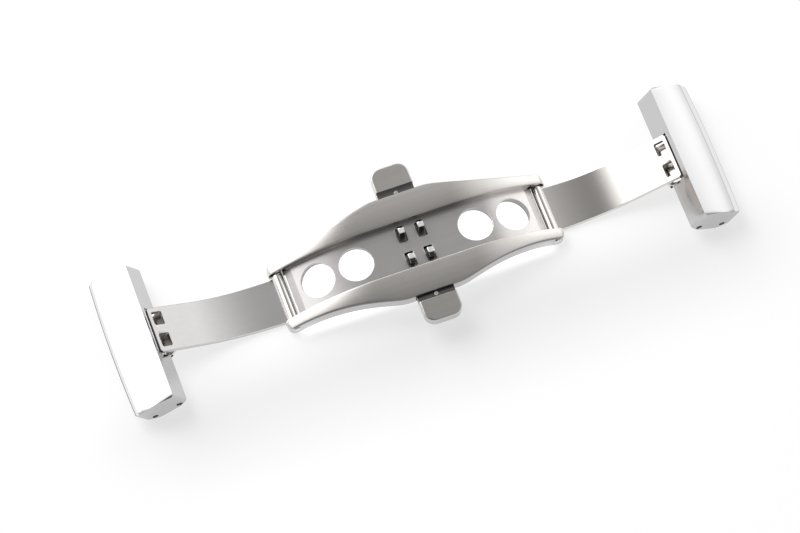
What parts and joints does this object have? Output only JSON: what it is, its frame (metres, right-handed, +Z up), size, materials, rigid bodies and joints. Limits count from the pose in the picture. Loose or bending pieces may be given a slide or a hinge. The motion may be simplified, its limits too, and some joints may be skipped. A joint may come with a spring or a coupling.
{
  "type": "deployant clasp",
  "caption": "Butterfly deployant clasp: an arched centre frame with two folding arms, hinged strap end pieces and side push buttons that release the hooks.",
  "frame": {"origin": "on the table under the middle of the centre frame, with the clasp open as in the picture", "axes": "+X along the clasp to the right arm, +Y across it to the back button, +Z up, away from the wrist"},
  "size_m": [0.0856, 0.0232, 0.0059],
  "materials": {
    "satin_steel": "fine satin brushed stainless steel",
    "polished_steel": "mirror polished stainless steel",
    "bright_steel": "bright turned and stamped stainless steel",
    "spring_steel": "drawn spring wire"
  },
  "bodies": {
    "root": {"frame_top": "satin_steel", "base_tray": "polished_steel", "frame_screws": "bright_steel", "arm_pin_left": "bright_steel", "arm_pin_right": "bright_steel", "spring_back_left": "spring_steel", "spring_back_right": "spring_steel", "spring_front_left": "spring_steel", "spring_front_right": "spring_steel"},
    "left_arm": {"arm_left": "satin_steel"},
    "right_arm": {"arm_right": "satin_steel"},
    "left_end": {"end_cap_left": "polished_steel", "cap_pin_left": "bright_steel"},
    "right_end": {"end_cap_right": "polished_steel", "cap_pin_right": "bright_steel"},
    "back_button": {"button_back": "satin_steel", "slide_back": "bright_steel", "button_pin_back": "bright_steel"},
    "front_button": {"button_front": "satin_steel", "slide_front": "bright_steel", "button_pin_front": "bright_steel"}
  },
  "joints": [
    {"name": "arm_fold_left", "type": "hinge", "parent": "root", "child": "left_arm", "pos_m": [-0.0185, 0, 0.00115], "axis": [0, 1, 0], "range_deg": [0, 157]},
    {"name": "arm_fold_right", "type": "hinge", "parent": "root", "child": "right_arm", "pos_m": [0.0185, 0, 0.00115], "axis": [0, -1, 0], "range_deg": [0, 157]},
    {"name": "end_swing_left", "type": "hinge", "parent": "left_arm", "child": "left_end", "pos_m": [-0.03667, 0, 0.00251], "axis": [0, -1, 0], "range_deg": [0, 127.9]},
    {"name": "end_swing_right", "type": "hinge", "parent": "right_arm", "child": "right_end", "pos_m": [0.03667, 0, 0.00251], "axis": [0, 1, 0], "range_deg": [0, 127.9]},
    {"name": "press_back", "type": "slide", "parent": "root", "child": "back_button", "axis": [0, -1, 0], "range_m": [0, 0.0007], "stiffness_N_per_m": 600, "springref_m": -0.0005, "deforming": ["spring_back_left", "spring_back_right"]},
    {"name": "press_front", "type": "slide", "parent": "root", "child": "front_button", "axis": [0, 1, 0], "range_m": [0, 0.0007], "stiffness_N_per_m": 600, "springref_m": -0.0005, "deforming": ["spring_front_left", "spring_front_right"]}
  ],
  "couplings": [
    {"joint": "end_swing_left", "follows": "arm_fold_left", "ratio": 0.8115},
    {"joint": "end_swing_right", "follows": "arm_fold_right", "ratio": 0.8115}
  ]
}
